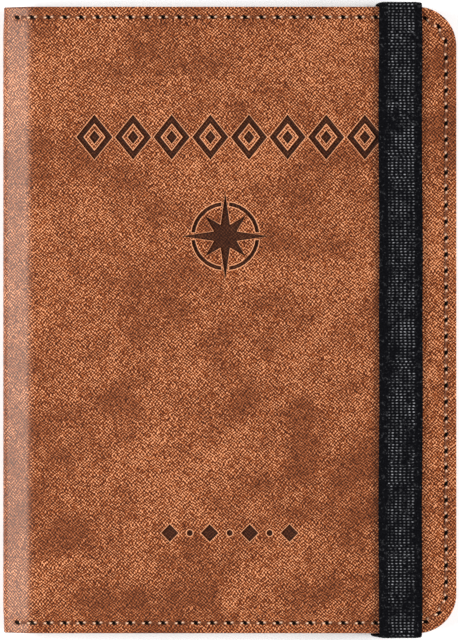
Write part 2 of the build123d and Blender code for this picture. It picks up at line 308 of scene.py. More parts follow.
def sheet(
    name, loop_at, low, high, place, edge, material,
    marks=(), points=(), back_points=(), edge_ink=0, way=1,
):
    """A sheet of leather or cloth between two heights, with a rounded edge all round.

    loop_at(inset) gives its outline, low and high give the heights of its two faces at flat points, and place
    puts flat points and heights in space. Each mark is (loop, height, ink): an outline pressed into the high
    face, with its ink value: how dark it is pressed up to one, the painted shade of a needle hole above one,
    and a painted highlight on a raised rim below zero. edge_ink is how dark its painted edge is. way is -1 on
    the back half of a skin, where the flat piece runs the other way."""
    rim = loop_at(edge)
    loops = [mark[0] for mark in marks]
    top_flat, top_faces, number = triangulate(rim, loops, points)
    top_height = high(*top_flat.T)
    ink_and_painted_light = np.zeros(len(top_flat))
    first = len(rim)
    # Each mark's ink value: pressed darkening up to one, painted shade in needle holes above one, and a
    # painted highlight on raised rims below zero.
    for loop, height, dark in marks:
        at = number[first:first + len(loop)]
        top_height[at] += height
        ink_and_painted_light[at] = dark
        first += len(loop)
    bottom_flat, bottom_faces, bottom_number = triangulate(rim, (), back_points)
    bottom_height = low(*bottom_flat.T)

    flat, height, inks_and_painted_light, faces = [top_flat], [top_height], [ink_and_painted_light], list(top_faces)
    count = len(top_flat)
    previous = number[:len(rim)]
    turns = [i * pi / 2 / EDGE_STEPS for i in range(1, EDGE_STEPS + 1)]
    for turn, side in [(turn, 1) for turn in turns] + [(turn, -1) for turn in turns[::-1]]:
        ring = loop_at(edge * (1 - sin(turn)))
        upper = high(*ring.T) - edge * (1 - cos(turn))
        lower = low(*ring.T) + edge * (1 - cos(turn))
        flat.append(ring)
        height.append(upper if side > 0 else lower)
        inks_and_painted_light.append(np.full(len(ring), edge_ink, float))
        current = np.arange(count, count + len(ring))
        faces += ring_faces(previous, current)
        previous = current
        count += len(ring)
    faces += ring_faces(previous, count + bottom_number[:len(rim)])
    faces += [tuple(count + i for i in face[::-1]) for face in bottom_faces]
    flat.append(bottom_flat)
    height.append(bottom_height)
    inks_and_painted_light.append(np.zeros(len(bottom_flat)))
    flat, height, inks_and_painted_light = np.concatenate(flat), np.concatenate(height), np.concatenate(inks_and_painted_light)
    space = place(*flat.T, height)
    rest = np.stack([way * flat[:, 0], flat[:, 1], height], axis=1)
    return make_piece(name, space, faces, rest, {"ink_and_painted_light": inks_and_painted_light}, material)


# Materials.


class Value:
    """A node's output, which takes part in sums and products."""

    def __init__(self, shader, socket):
        self.shader = shader
        self.socket = socket

    def __add__(self, other):
        return self.shader.math("ADD", self, other)

    def __sub__(self, other):
        return self.shader.math("SUBTRACT", self, other)

    def __rsub__(self, other):
        return self.shader.math("SUBTRACT", other, self)

    def __mul__(self, other):
        return self.shader.math("MULTIPLY", self, other)

    def clamped(self):
        """The same sum or product, held between 0 and 1."""
        self.socket.node.use_clamp = True
        return self


class Shader:
    """A node material under construction: each method adds a node and returns its output."""

    def __init__(self, name, carried=False):
        self.carried = carried
        self.material = bpy.data.materials.new(name)
        self.material.use_nodes = True
        self.nodes = self.material.node_tree.nodes
        self.surface = self.nodes["Principled BSDF"]

    def add(self, kind, inputs, output=0, **settings):
        """A node with these settings and inputs, by socket number or name, and one of its outputs."""
        node = self.nodes.new(kind)
        for name, value in settings.items():
            setattr(node, name, value)
        for key, value in inputs.items():
            self.put(node.inputs[key], value)
        return Value(self, node.outputs[output])

    def put(self, socket, value):
        if isinstance(value, Value):
            self.material.node_tree.links.new(value.socket, socket)
        elif socket.type == "RGBA":
            socket.default_value = (*value, 1)
        else:
            socket.default_value = value

    def set(self, **inputs):
        """Values or outputs for the surface's own sockets, such as Base_Color."""
        for name, value in inputs.items():
            self.put(self.surface.inputs[name.replace("_", " ")], value)

    def value_of(self, attribute, output="Fac"):
        return self.add("ShaderNodeAttribute", {}, output, attribute_name=attribute)

    def rest(self):
        """Places on the flat cut piece, or in space on a piece carried over from the CAD."""
        if self.carried:
            return self.add("ShaderNodeTexCoord", {}, "Object")
        return self.value_of("rest", "Vector")

    def math(self, operation, *values):
        return self.add("ShaderNodeMath", dict(enumerate(values)), operation=operation)

    def dot(self, vector, direction):
        return self.add("ShaderNodeVectorMath", {0: vector, 1: direction}, "Value", operation="DOT_PRODUCT")

    def noise(self, vector, scale, detail=2.0, roughness=0.5):
        inputs = {"Vector": vector, "Scale": scale, "Detail": detail, "Roughness": roughness}
        return self.add("ShaderNodeTexNoise", inputs, "Fac")

    def noise_at(self, places, detail, roughness=0.5):
        """Noise whose coordinates are made one by one."""
        return self.noise(self.add("ShaderNodeCombineXYZ", dict(enumerate(places))), 1.0, detail, roughness)

    def stretched(self, angle, along, across, detail=2.0, roughness=0.55, level=0.0):
        """Noise drawn out at an angle on the flat piece: streaks this long and this wide, in metres."""
        rest = self.rest()
        u = self.dot(rest, (cos(angle) / along, sin(angle) / along, 0))
        v = self.dot(rest, (-sin(angle) / across, cos(angle) / across, 0))
        w = self.dot(rest, (0, 0, 1 / across)) + level
        return self.noise_at((u, v, w), detail, roughness)

    def mix(self, share, a, b):
        return self.add("ShaderNodeMix", {0: share, 6: a, 7: b}, 2, data_type="RGBA")

    def ramp(self, share, *stops):
        """A colour that runs through these stops, each a place and a colour."""
        result = self.add("ShaderNodeValToRGB", {0: share})
        elements = result.socket.node.color_ramp.elements
        while len(elements) < len(stops):
            elements.new(0.5)
        for element, (position, colour) in zip(elements, stops):
            element.position = position
            element.color = (*colour, 1)
        return result

    def bump(self, height, distance, strength=1.0):
        result = self.add("ShaderNodeBump", {"Strength": strength, "Distance": distance, "Height": height})
        self.put(self.surface.inputs["Normal"], result)


# The leather's grain: strokes and hatching that cross, each with its angle and its length or pitch.
STROKES = ((radians(-42), 1.05 * MM), (radians(48), 0.55 * MM))
STROKE_WIDTH = 0.225 * MM
HATCHES = ((radians(-43), 0.54 * MM), (radians(47), 0.58 * MM))
HATCH_WAVER = 1.0 * MM
CLOUD_ANGLE = radians(35)
CLOUD_SIZE = (26 * MM, 17 * MM)
CLOUD_LEVEL = 2.8

# Its tones, from the darkest to the most worn, the worn one also painted on the raised rims of pressed marks
# as a painted highlight, and those of its pressed places and the painted shade of its needle holes.
COVER_TONES = ((0.030, 0.005, 0.001), (0.140, 0.023, 0.003), (0.46, 0.135, 0.038), (0.78, 0.35, 0.175))
POCKET_TONES = ((0.030, 0.006, 0.002), (0.110, 0.026, 0.007), (0.34, 0.11, 0.038), (0.55, 0.25, 0.13))
PRESSED_TONES = ((0.013, 0.002, 0.001), (0.048, 0.012, 0.004))
# The near-black painted shade of needle holes.
HOLE_SHADE = (0.004, 0.002, 0.001)
RED_SHARES = (0.70, 0.62, 0.66)


def hatching(shader, angle, pitch):
    """Wavering, broken strokes side by side at this pitch, from -1 to 1, that run at this angle."""
    rest = shader.rest()
    across = shader.dot(rest, (-sin(angle), cos(angle), 0.7))
    waver = (shader.noise(rest, 620, 1.0) - 0.5) * HATCH_WAVER
    wave = shader.math("SINE", (across + waver) * (2 * pi / pitch))
    breaks = shader.stretched(angle, 1.3 * MM, 0.5 * MM)
    return wave * ((breaks - 0.2) * 3.0).clamped()


def leather(name, tones, grain=1.0, mottle=1.0, roughness=0.44, carried=False):
    """Aniline leather with a fine grain of crossing strokes, clouded by darker, redder patches."""
    shader = Shader(name, carried)
    dark, middle, light, worn_tone_and_rim_highlight = tones
    stroke, other_stroke = (shader.stretched(angle, length, STROKE_WIDTH) for angle, length in STROKES)
    hatch, other_hatch = (hatching(shader, angle, pitch) for angle, pitch in HATCHES)
    crossed = (stroke + other_stroke - 1.0) * 0.55 + (hatch + other_hatch) * 0.13
    pores = shader.noise(shader.rest(), 2900, 1.0) - 0.5
    clouds = shader.stretched(CLOUD_ANGLE, *CLOUD_SIZE, 2.0, 0.5, CLOUD_LEVEL) - 0.5
    patches = shader.noise(shader.rest(), 150, 3.0, 0.55) - 0.5
    fine = crossed * (2.6 * grain) + pores * (0.8 * grain)
    wide = clouds * (0.42 * mottle) + patches * (0.32 * mottle)
    tone = (fine + wide + 0.5).clamped()
    redness = ((0.02 - (clouds + patches)) * 3.5).clamped()
    red = tuple(channel * share for channel, share in zip(light, RED_SHARES))

    colour = shader.ramp(tone, (0.0, dark), (0.5, middle), (0.85, light), (1.0, worn_tone_and_rim_highlight))
    colour = shader.mix(redness * 0.8, colour, shader.ramp(tone, (0.0, dark), (1.0, red)))
    ink_and_painted_light = shader.value_of("ink_and_painted_light")
    # Below zero, the ink value paints the worn tone onto the raised rims of pressed marks: a painted
    # highlight.
    colour = shader.mix((ink_and_painted_light * -1).clamped(), colour, worn_tone_and_rim_highlight)
    ink_and_painted_light = shader.math("MAXIMUM", ink_and_painted_light, 0)
    colour = shader.mix(ink_and_painted_light, colour, shader.ramp(tone, *zip((0.0, 1.0), PRESSED_TONES)))
    # Above one, the ink value paints the edges and floors of needle holes near-black: painted shade.
    colour = shader.mix((ink_and_painted_light - 1).clamped(), colour, HOLE_SHADE)
    shader.set(Base_Color=colour, Roughness=ink_and_painted_light * 0.5 + roughness)
    shader.set(Specular_IOR_Level=0.5, Specular_Tint=(1.0, 0.80, 0.68))
    shader.bump(crossed + pores, 0.05 * MM, 0.35)
    return shader.material


def weave(name, dark, light, pitch, roughness=0.85, carried=False):
    """A plain-woven cloth: threads over and under at this pitch."""
    shader = Shader(name, carried)
    rest = shader.rest()
    u = shader.math("SINE", shader.dot(rest, (2 * pi / pitch, 0, 0)))
    v = shader.math("SINE", shader.dot(rest, (0, 2 * pi / pitch, 0)))
    over = u * v * 0.5 + 0.5
    share = over * 0.35 + shader.noise(rest, 900, 3.0, 0.6) * 0.65
    shader.set(Base_Color=shader.ramp(share, (0.2, dark), (0.8, light)))
    shader.set(Roughness=roughness, Specular_IOR_Level=0.25)
    shader.bump(over, 0.06 * MM, 0.6)
    return shader.material


def grained(name, dark, light, noise, **finish):
    """A stiff sheet of two tones, with fibres or crinkles from this noise (scale, detail, roughness)."""
    shader = Shader(name, carried=True)
    grain = shader.noise(shader.rest(), *noise)
    shader.set(Base_Color=shader.ramp(grain, (0.3, dark), (0.7, light)), **finish)
    shader.bump(grain, 0.03 * MM, 0.4)
    return shader.material


def thread(name, brown, cream_highlight):
    """Waxed two-ply brown thread, with a painted cream highlight where it bends down into the holes."""
    shader = Shader(name)
    fibres = shader.noise(shader.rest(), 5200, 2.0, 0.6)
    tip_highlight = shader.value_of("tip_highlight") + (fibres - 0.5) * 0.7
    shader.set(Base_Color=shader.ramp(tip_highlight, (0.1, brown), (0.9, cream_highlight)))
    shader.set(Roughness=0.6, Specular_IOR_Level=0.3)
    shader.bump(fibres, 0.03 * MM, 0.4)
    return shader.material


def ridges(place, pitch, sharpness):
    """Ridges from 0 to 1 across a direction, the narrower the sharper."""
    wave = place.shader.math("COSINE", place * (2 * pi / pitch))
    return place.shader.math("POWER", wave * 0.5 + 0.5, sharpness)


def elastic(name, dark, light, glint_and_fluff_grey):
    """Ribbed black elastic, with dashes of painted light-grey glint on the crests of its ribs and cords."""
    shader = Shader(name)
    rest = shader.rest()
    x, y = (shader.dot(rest, direction) for direction in ((1, 0, 0), (0, 1, 0)))
    wander = shader.noise_at((x * 60, y * (0.9 / RIB_PITCH)), 1.0)
    # The dashes paint light-grey glints on the crests of the ribs and cords: a painted highlight.
    crest_glint = ridges(x + (wander - 0.5) * CORD_WANDER, CORD_PITCH, 2.3) * ridges(y, RIB_PITCH, 5.4)
    off_middle = shader.math("ABSOLUTE", x - CORDS_MIDDLE)
    ribbed = ((CORDS_REACH - off_middle) * (4 / MM)).clamped()
    patches = ((shader.noise(rest, 190, 3.0, 0.7) - 0.36) * 3.4).clamped()
    sparkle = ((shader.noise(rest, 1050, 1.0) - 0.3) * 3.6).clamped()
    fluff = ((shader.noise(rest, 1700, 2.0, 0.6) - 0.58) * 0.4).clamped()
    share = shader.math("MAXIMUM", crest_glint * ribbed * (patches * sparkle), fluff)
    yarn = shader.ramp(shader.noise(rest, 2600, 2.0, 0.6), (0.3, dark), (0.8, light))
    shader.set(Base_Color=shader.mix(share, yarn, glint_and_fluff_grey))
    shader.set(Roughness=0.85, Specular_IOR_Level=0.05)
    shader.bump(shader.noise(rest, 3000, 2.0, 0.6), 0.05 * MM, 0.5)
    return shader.material


COVER = leather("cover_leather", COVER_TONES)
POCKET = leather("pocket_leather", POCKET_TONES, 0.8, 0.5, 0.5)
FILLER = leather("filler_leather", POCKET_TONES, 0.8, 0.5, 0.5, carried=True)
LINING = weave("lining_fabric", (0.030, 0.015, 0.009), (0.11, 0.058, 0.034), 0.42 * MM)
BOARD = grained(
    "stiffener_board", (0.11, 0.045, 0.022), (0.19, 0.09, 0.048), (1800, 4.0, 0.7),
    Roughness=0.8, Specular_IOR_Level=0.2,
)
FOIL = grained(
    "shield_foil", (0.55, 0.55, 0.57), (0.75, 0.75, 0.77), (500, 3.0, 0.6), Metallic=1.0, Roughness=0.35,
)
# The thread is brown, with the cream colour as a painted highlight near the holes.
THREAD = thread("thread", (0.14, 0.038, 0.012), (0.80, 0.50, 0.33))
# The last colour is the painted glint on the ribs, also used for the fluff.
ELASTIC = elastic("elastic", (0.0015, 0.0015, 0.002), (0.006, 0.006, 0.008), (0.54, 0.55, 0.58))
TAIL = weave("elastic_tail", (0.004, 0.004, 0.005), (0.020, 0.020, 0.024), 0.68 * MM, 0.8, carried=True)


# The pressed ornament and the needle holes.


def lozenge(centre, width, height):
    """A lozenge's four corners, counter-clockwise."""
    x, y = centre
    return np.array([(x + width / 2, y), (x, y + height / 2), (x - width / 2, y), (x, y - height / 2)])


def ellipse(centre, radii, heading=0.0, count=10):
    """Points of an ellipse whose long side lies along heading."""
    angles = np.arange(count) * 2 * pi / count
    u, v = radii[0] * np.cos(angles), radii[1] * np.sin(angles)
    x = centre[0] + u * cos(heading) - v * sin(heading)
    y = centre[1] + u * sin(heading) + v * cos(heading)
    return np.stack([x, y], axis=1)


def cell_centres(centre, length, count):
    """The middles of evenly spaced cells along X."""
    pitch = length / count
    return [(centre[0] + (i - (count - 1) / 2) * pitch, centre[1]) for i in range(count)]


def star(centre, long_radius, short_radius, waist_radius):
    """An eight-pointed star whose points are long and short by turns."""
    radii = np.array([long_radius, waist_radius, short_radius, waist_radius] * 4)
    angles = np.arange(len(radii)) * 2 * pi / len(radii)
    return centre + np.stack([radii * np.cos(angles), radii * np.sin(angles)], axis=1)


def ring_quarter(centre, radius, stroke, arm_gap, quarter):
    """A quarter of a ring that stops short of the star's arms at both its ends."""
    outer, inner = radius + stroke / 2, radius - stroke / 2
    points = []
    for r, way in ((outer, 1), (inner, -1)):
        margin = arm_gap / 2 / r
        angles = np.linspace(margin, pi / 2 - margin, 9)[::way] + quarter * pi / 2
        points += [(centre[0] + r * cos(a), centre[1] + r * sin(a)) for a in angles]
    return np.array(points)


# The rings of a pressed mark, its raised rim with a painted highlight, its dark edge and floor, as (distance
# out, height, ink).
PRESSED_RINGS = ((0.28 * MM, 0, 0), (0.13 * MM, 0.05 * MM, -1.5), (0, 0, 1), (-0.17 * MM, -0.3 * MM, 0.94))


def pressed(outer, island=None):
    """The loops of a mark pressed into the leather, round the island left in it if there is one."""
    loops = [(grow(outer, out), height, ink_and_painted_light) for out, height, ink_and_painted_light in PRESSED_RINGS]
    if island is not None:
        loops += [(grow(island, -out), height, ink_and_painted_light) for out, height, ink_and_painted_light in PRESSED_RINGS[::-1]]
    return loops


# The frieze of lozenges, the compass rose and the row of lozenges and dots, from the top down.
FRIEZE = dict(centre=(0, 41.9 * MM), length=70.8 * MM, count=8)
FRIEZE_HEIGHT = 10.3 * MM
FRIEZE_GAP = 0.6 * MM
FRIEZE_STROKE = 1.2 * MM
FRIEZE_PIP = 0.3
ROSE = (-1.0 * MM, 19.2 * MM)
ROSE_RADII = (10.0 * MM, 6.6 * MM, 2.8 * MM)
RING_RADIUS = 7.4 * MM
RING_STROKE = 0.8 * MM
RING_GAP = 1.8 * MM
ROW = dict(centre=(0, -48.8 * MM), length=32.0 * MM, count=7)
ROW_LOZENGE = 4.0 * MM
ROW_DOT = 0.667 * MM


def ornament():
    """Every pressed mark of the front cover, in X and Y, as (outline, island or None)."""
    width, height = FRIEZE["length"] / FRIEZE["count"] - FRIEZE_GAP, FRIEZE_HEIGHT
    slant = hypot(width, height)
    inner = width - 2 * FRIEZE_STROKE * slant / height, height - 2 * FRIEZE_STROKE * slant / width
    marks = []
    for centre in cell_centres(**FRIEZE):
        marks.append((lozenge(centre, width, height), lozenge(centre, *inner)))
        marks.append((lozenge(centre, FRIEZE_PIP * width, FRIEZE_PIP * height), None))
    marks.append((star(ROSE, *ROSE_RADII), None))
    marks += [(ring_quarter(ROSE, RING_RADIUS, RING_STROKE, RING_GAP, i), None) for i in range(4)]
    row = cell_centres(**ROW)
    marks += [(lozenge(centre, ROW_LOZENGE, ROW_LOZENGE), None) for centre in row[::2]]
    marks += [(ellipse(centre, (ROW_DOT, ROW_DOT), count=14), None) for centre in row[1::2]]
    return marks


# The seam: a path along the bottom, fore and top edges, which starts and ends on the spine's slope.
SEAM_START = t_at_x(SEAM_START_X)
SEAM_STRAIGHT = T_END - CORNER_RADIUS - SEAM_START
SEAM_RADIUS = CORNER_RADIUS - SEAM_INSET
SEAM_FORE = 2 * (HALF_LENGTH - CORNER_RADIUS)
SEAM_LENGTH = 2 * SEAM_STRAIGHT + pi * SEAM_RADIUS + SEAM_FORE
SEAM_COUNT = round(SEAM_LENGTH / STITCH_PITCH)


def seam_at(s):
    """A point of the seam, s metres along it: t, y and heading."""
    if s > SEAM_LENGTH / 2:
        t, y, heading = seam_at(SEAM_LENGTH - s)
        return t, -y, pi - heading
    y = -(HALF_LENGTH - SEAM_INSET)
    if s < SEAM_STRAIGHT:
        return SEAM_START + s, y, 0.0
    turn = (s - SEAM_STRAIGHT) / SEAM_RADIUS
    centre_t, centre_y = T_END - CORNER_RADIUS, y + SEAM_RADIUS
    if turn < pi / 2:
        return centre_t + SEAM_RADIUS * sin(turn), centre_y - SEAM_RADIUS * cos(turn), turn
    return centre_t + SEAM_RADIUS, centre_y + (turn - pi / 2) * SEAM_RADIUS, pi / 2


SEAM_MARKS = [seam_at(SEAM_LENGTH * i / SEAM_COUNT) for i in range(SEAM_COUNT + 1)]

# A needle hole, with its pulled-down rim, its edge and its floor as (share of its radii, height, ink), the
# edge and floor painted near-black as painted shade.
HOLE_RADII = (0.66 * MM, 0.38 * MM)
HOLE_TILT = radians(20)
HOLE_RINGS = ((1.4, -0.02 * MM, 0), (1.0, -0.06 * MM, 1.4), (0.6, -0.42 * MM, 2))


def hole_loops(t, y, heading):
    """The loops of one needle hole."""
    loops = []
    for share, height, ink_and_painted_light in HOLE_RINGS:
        radii = (HOLE_RADII[0] * share, HOLE_RADII[1] * share)
        loops.append((ellipse((t, y), radii, heading - HOLE_TILT), height, ink_and_painted_light))
    return loops


# The leather skins of the covers and the spine.


def leather_high(t, y):
    """The outer face of the leather: pressed thinner towards its sewn edges, with a groove along the seam."""
    distance = edge_distance(t, y)
    thin = EDGE_DROP * (1 - smooth(distance, *DROP_SPAN))
    groove = GROOVE_DEPTH * np.exp(-(((distance - SEAM_INSET) / GROOVE_REACH) ** 2))
    return HALF_LEATHER - thin - groove * smooth(t, SEAM_START - 1.5 * MM, SEAM_START)


def leather_low(t, y):
    """The leather's inner face, which stays flat."""
    return np.full(np.shape(t), -HALF_LEATHER)


def crease_run(start, stop, arc, fine=0.2 * MM):
    """Values from start to stop, close together where the skin turns."""
    low, high = max(start, arc[0] - FINE_MARGIN), min(stop, arc[1] + FINE_MARGIN)
    values = list(spaced(low, high, fine))
    if low > start:
        values = [*spaced(start, low, SPACING)[:-1], *values]
    if high < stop:
        values += list(spaced(high, stop, SPACING)[1:])
    return np.array(values)


def rows(run, half_length):
    """Points in rows across the skin, one row at each value of run, clear of the ends."""
    across = spaced(-half_length, half_length, SPACING)[1:-1]
    t, y = np.meshgrid(run, across)
    return np.stack([t.ravel(), y.ravel()], axis=1)


def clear_of(points, loops, centres):
    """The points that aren't in a pressed mark or near a hole."""
    keep = np.ones(len(points), bool)
    for outer, island in loops:
        blocked = inside(points, grow(outer, MARK_CLEARANCE))
        if island is not None:
            blocked &= ~inside(points, grow(island, -MARK_CLEARANCE))
        keep &= ~blocked
    keep &= (np.linalg.norm(points[:, None] - centres[None], axis=2) > HOLE_CLEARANCE).all(axis=1)
    return points[keep]


def skin_side(side):
    """How flat points of the front or back half of the skin are put in space."""
    return lambda t, y, h: on_skin(side * t, y, h)


# Rows of points that follow the sewn edges, this far in from them.
EDGE_ROWS = np.array([0.8, 1.2, 1.6, 1.9, 2.15, 2.4, 2.65, 2.9, 3.2, 3.7, 4.5, 5.4]) * MM
EDGE_REACH = 6 * MM


def cover_skin(name, side, marks):
    """A cover's leather, from its fore edge to the cut across the spine's slope beside it."""
    run = crease_run(T_CUT, T_END - CORNER_RADIUS, T_FRONT_ARC)
    centres = np.array(SEAM_MARKS)[:, :2]
    marks = [tuple(None if loop is None else loop + (COVER_SHIFT, 0) for loop in mark) for mark in marks]
    loops = [loop for mark in marks for loop in pressed(*mark)]
    loops += [loop for hole in SEAM_MARKS for loop in hole_loops(*hole)]

    panel_start = T_FRONT_ARC[1] + 1 * MM
    creased = rows(run[(run > T_CUT) & (run < panel_start)], HALF_LENGTH - 0.6 * MM)
    grid = hex_grid((panel_start, -HALF_LENGTH), (T_END, HALF_LENGTH), GRID)
    grid = grid[edge_distance(*grid.T) > EDGE_REACH]
    edges = np.concatenate([panel_loop(run, inset, 0.8 * MM) for inset in EDGE_ROWS])
    near_edge = edge_distance(*edges.T) < EDGE_REACH - 0.4 * MM
    edges = edges[(edges[:, 0] > run[0] + 0.3 * MM) & near_edge]
    points = clear_of(np.concatenate([creased, grid, edges]), marks, centres)

    skin = sheet(
        name, lambda inset: panel_loop(run, inset), leather_low, leather_high, skin_side(side), EDGE_ROUND,
        COVER, loops, points, np.concatenate([creased, grid]), way=side,
    )
    bend(skin, side, T_FRONT_ARC, CREASE_MARGIN)
    return skin


def bend(piece, side, arc, margin=0.0):
    """Bakes the piece's placement into its mesh; the ends of the arc are worked out but not used."""
    start, end = (tuple(on_skin(side * t, 0, 0)) for t in (arc[1] + margin, arc[0] - margin))
    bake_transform(piece)


def strip_loop(run, inset, half_length):
    """The outline of a strip of skin between two cuts across it."""
    end = half_length - inset
    side = spaced(-end, end, SPACING)
    loop = [(t, -end) for t in run]
    loop += [(run[-1], y) for y in side[1:-1]]
    loop += [(t, end) for t in run[::-1]]
    loop += [(run[0], y) for y in side[::-1][1:-1]]
    return np.array(loop)


def spine_skin(name, side, low, high, half_length, edge, material):
    """The part of a skin from the cut across a slope to the middle of the upright strip."""
    run = crease_run(0.0, T_CUT, T_UPPER_ARC, fine=0.25 * MM)
    inner = rows(run[1:-1], half_length - 0.8 * MM)
    skin = sheet(
        name, lambda inset: strip_loop(run, inset, half_length), low, high, skin_side(side), edge, material,
        (), inner, inner, way=side,
    )
    bend(skin, side, T_UPPER_ARC)
    return skin


SIDES = {"front": (1, "front_cover", "spine_upper"), "back": (-1, "back_cover", "spine_lower")}
for cover, (side, body, slope) in SIDES.items():
    skin = cover_skin(f"{cover}_skin", side, ornament() if side > 0 else [])
    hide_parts(f"{cover}_cover_leather", f"{slope}_leather")
    skin = spine_skin(
        f"{cover}_spine_skin", side, leather_low, leather_high,
        HALF_LENGTH, EDGE_ROUND, COVER,
    )
    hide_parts(f"{slope}_leather", "spine_middle_leather")


# Threads.


def distances(points):
    """How far along a line each of its points is."""
    return np.concatenate([[0], np.cumsum(np.linalg.norm(np.diff(points, axis=0), axis=1))])


def joined_rings(count, ring):
    """The faces of a closed tube of this many rings, each of this many points."""
    numbers = np.arange(count * ring).reshape(count, ring)
    faces = [face for first, second in zip(numbers, numbers[1:]) for face in ring_faces(first, second)]
    return faces + [tuple(numbers[0][::-1]), tuple(numbers[-1])]


PLY_BULGE = 0.12
PLY_TWIST = 2 * pi / (2.2 * MM)
THREAD_SIDES = 8
STITCH_STEPS = 16
STITCH_DEPTH = 0.42 * MM
STITCH_RISE = 0.13 * MM
STITCH_SLANT = 0.10 * MM
STITCH_DIVE = (-0.05 * MM, 0.42 * MM)
# How far from the holes the painted highlight on a stitch reaches, and where it has faded out.
STITCH_HIGHLIGHT_SPAN = (0.24 * MM, 0.80 * MM)


def twisted(centres, across, up, radii):
    """Points round a line, ring by ring, for a thread of two twisted plies."""
    angles = np.arange(THREAD_SIDES) * 2 * pi / THREAD_SIDES
    ply = 1 + PLY_BULGE * np.cos(2 * (angles[None] - PLY_TWIST * distances(centres)[:, None]))
    u, v = radii[0] * np.cos(angles)[None] * ply, radii[1] * np.sin(angles)[None] * ply
    points = centres[:, None] + u[..., None] * across[:, None] + v[..., None] * up[:, None]
    return points.reshape(-1, 3)


def stitches(name, marks, surface, place, gap=0.50 * MM, radii=(0.25 * MM, 0.19 * MM)):
    """One mesh of separate stitches between neighbouring needle marks (u, v, heading) of a row. Each dives
    into a hole at both its ends, and carries a painted highlight there."""
    points, faces, tip_highlight = [], [], []
    stitch_faces = joined_rings(STITCH_STEPS, THREAD_SIDES)
    share = (1 - np.cos(np.linspace(0, pi, STITCH_STEPS))) / 2
    for number, (first, second) in enumerate(zip(marks, marks[1:])):
        a, b = np.array(first[:2]), np.array(second[:2])
        length = np.linalg.norm(b - a)
        ahead = (b - a) / length
        left = np.array([-ahead[1], ahead[0]])
        along = gap + share * (length - 2 * gap)
        bow = (first[2] + pi - second[2]) % (2 * pi) - pi
        side = length * -bow / 8 * (1 - (2 * along / length - 1) ** 2) + STITCH_SLANT * np.cos(share * pi)
        flat = a + along[:, None] * ahead + side[:, None] * left
        reach = np.minimum(along - gap, length - gap - along)
        lift = (STITCH_DEPTH + STITCH_RISE) * smooth(reach, *STITCH_DIVE) - STITCH_DEPTH
        height = surface(*flat.T) + lift
        slope = np.gradient(height) / np.gradient(along)
        centres = np.concatenate([flat, height[:, None]], axis=1)
        across = np.tile([left[0], left[1], 0], (STITCH_STEPS, 1))
        up = np.stack([-slope * ahead[0], -slope * ahead[1], np.ones(STITCH_STEPS)], axis=1)
        up /= np.linalg.norm(up, axis=1)[:, None]
        before = number * STITCH_STEPS * THREAD_SIDES
        faces += [tuple(before + i for i in face) for face in stitch_faces]
        points.append(twisted(centres, across, up, radii))
        # Paint a highlight on the thread near the holes, fading along the stitch.
        tip_highlight.append(np.repeat(1 - smooth(reach, *STITCH_HIGHLIGHT_SPAN), THREAD_SIDES))
    points = np.concatenate(points)
    return make_piece(name, place(*points.T), faces, points, {"tip_highlight": np.concatenate(tip_highlight)}, THREAD)


for cover, (side, body, slope) in SIDES.items():
    row = stitches(f"{cover}_seam_stitches", SEAM_MARKS, leather_high, skin_side(side))
    bend(row, side, T_FRONT_ARC, CREASE_MARGIN)
    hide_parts(f"{cover}_seam_thread", f"{slope}_thread")


# The elastic band.

BAND_LEFT, BAND_RIGHT = node_range("band_front_run", 0)
BAND_BOTTOM, BAND_TOP = node_range("band_front_run", 2)
WRAP_OUTER = node_range("band_top_wrap", 1)[1]
WRAP_FOOT = sum(node_range("band_top_tail", 2)) / 2
BAND_MIDDLE, BAND_HALF = (BAND_LEFT + BAND_RIGHT) / 2, (BAND_RIGHT - BAND_LEFT) / 2
BAND_THICK = 0.86 * MM
TAIL_THICK = 0.5 * MM
SELVEDGE = 1.7 * MM
WRAP_TURN = 1.0 * MM
WRAP_LENGTH = 11.5 * MM
FOOT_TURN = 0.42 * MM
TURN_STEPS = 16
BAND_COLUMNS = 56
BACK_COLUMN_STEP = 4
SIDE_POWER = 14


def band_path():
    """The band's centreline in Y and Z, from its tail over the top edge to the middle."""
    y, z = WRAP_OUTER - BAND_THICK / 2, BAND_TOP - BAND_THICK / 2
    corners = [(HALF_LENGTH - 0.1 * MM, WRAP_FOOT), (y, WRAP_FOOT), (y, z), (0, z)]
    return rounded_line(corners, (FOOT_TURN, WRAP_TURN), TURN_STEPS)


